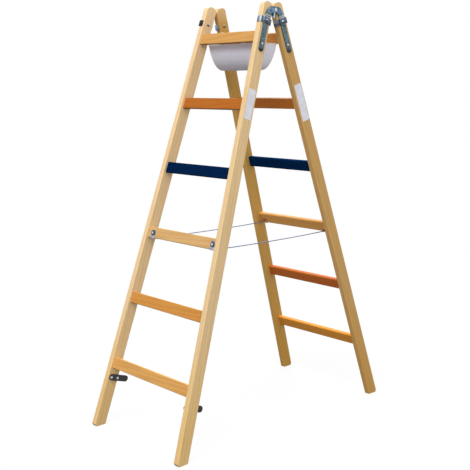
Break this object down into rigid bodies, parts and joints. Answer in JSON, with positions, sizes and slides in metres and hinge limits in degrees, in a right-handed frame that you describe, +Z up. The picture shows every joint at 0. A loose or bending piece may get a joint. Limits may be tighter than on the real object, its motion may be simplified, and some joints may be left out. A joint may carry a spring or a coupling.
{
  "type": "wooden trestle ladder",
  "caption": "Folding wooden trestle ladder: two tapering rung sections hinged at the top, held open by steel ropes, with a hang-in tool tray.",
  "frame": {"origin": "on the floor, under the middle of the ladder's box", "axes": "+X along the rungs, +Y from the front section to the rear section, +Z up"},
  "size_m": [0.5386, 1.139, 1.6677],
  "materials": {
    "stile_wood": "clear varnished softwood",
    "rung_wood": "oiled reddish softwood",
    "blue_rung": "dark blue stain",
    "hinge_steel": "galvanised sheet steel",
    "bright_steel": "bright zinc",
    "rope": "stranded galvanised wire",
    "black_plastic": "moulded black plastic",
    "tray_plastic": "moulded white plastic"
  },
  "bodies": {
    "front_section": {"front_stile_right": "stile_wood", "front_stile_left": "stile_wood", "front_rung_1": "rung_wood", "front_rung_2": "rung_wood", "front_rung_3": "rung_wood", "front_rung_4": "blue_rung", "front_rung_5": "rung_wood", "front_rung_6": "rung_wood", "hinge_arm_front_right": "hinge_steel", "hinge_arm_front_left": "hinge_steel", "hinge_rivet_right": "hinge_steel", "hinge_rivet_left": "hinge_steel", "stile_clip_front_right": "hinge_steel", "stile_clip_front_left": "hinge_steel", "clip_bolts_front": "hinge_steel", "strap_rivets_front": "hinge_steel", "rope_right": "rope", "rope_left": "rope", "rope_anchor_front_right": "bright_steel", "rope_anchor_front_left": "bright_steel", "anchor_screws_front": "bright_steel", "anchor_washers_front": "bright_steel", "guide_bar_right": "black_plastic", "guide_bar_left": "black_plastic", "guide_screws": "bright_steel"},
    "rear_section": {"rear_stile_right": "stile_wood", "rear_stile_left": "stile_wood", "rear_rung_1": "rung_wood", "rear_rung_2": "rung_wood", "rear_rung_3": "rung_wood", "rear_rung_4": "blue_rung", "rear_rung_5": "rung_wood", "rear_rung_6": "rung_wood", "hinge_arm_rear_right": "hinge_steel", "hinge_arm_rear_left": "hinge_steel", "stile_clip_rear_right": "hinge_steel", "stile_clip_rear_left": "hinge_steel", "clip_bolts_rear": "hinge_steel", "strap_rivets_rear": "hinge_steel", "rope_anchor_rear_right": "bright_steel", "rope_anchor_rear_left": "bright_steel", "anchor_screws_rear": "bright_steel", "anchor_washers_rear": "bright_steel"},
    "tray": {"tool_tray": "tray_plastic"}
  },
  "joints": [
    {"name": "fold", "type": "hinge", "parent": "front_section", "child": "rear_section", "pos_m": [0, 0, 1.636], "axis": [-1, 0, 0], "range_deg": [0, 35], "deforming": ["rope_right", "rope_left"]},
    {"name": "tray_lift", "type": "slide", "parent": "front_section", "child": "tray", "axis": [0, 0, 1], "range_m": [0, 0.74]}
  ],
  "couplings": [
    {"joint": "tray_lift", "follows": "fold", "m_per_rad": 1.2}
  ]
}
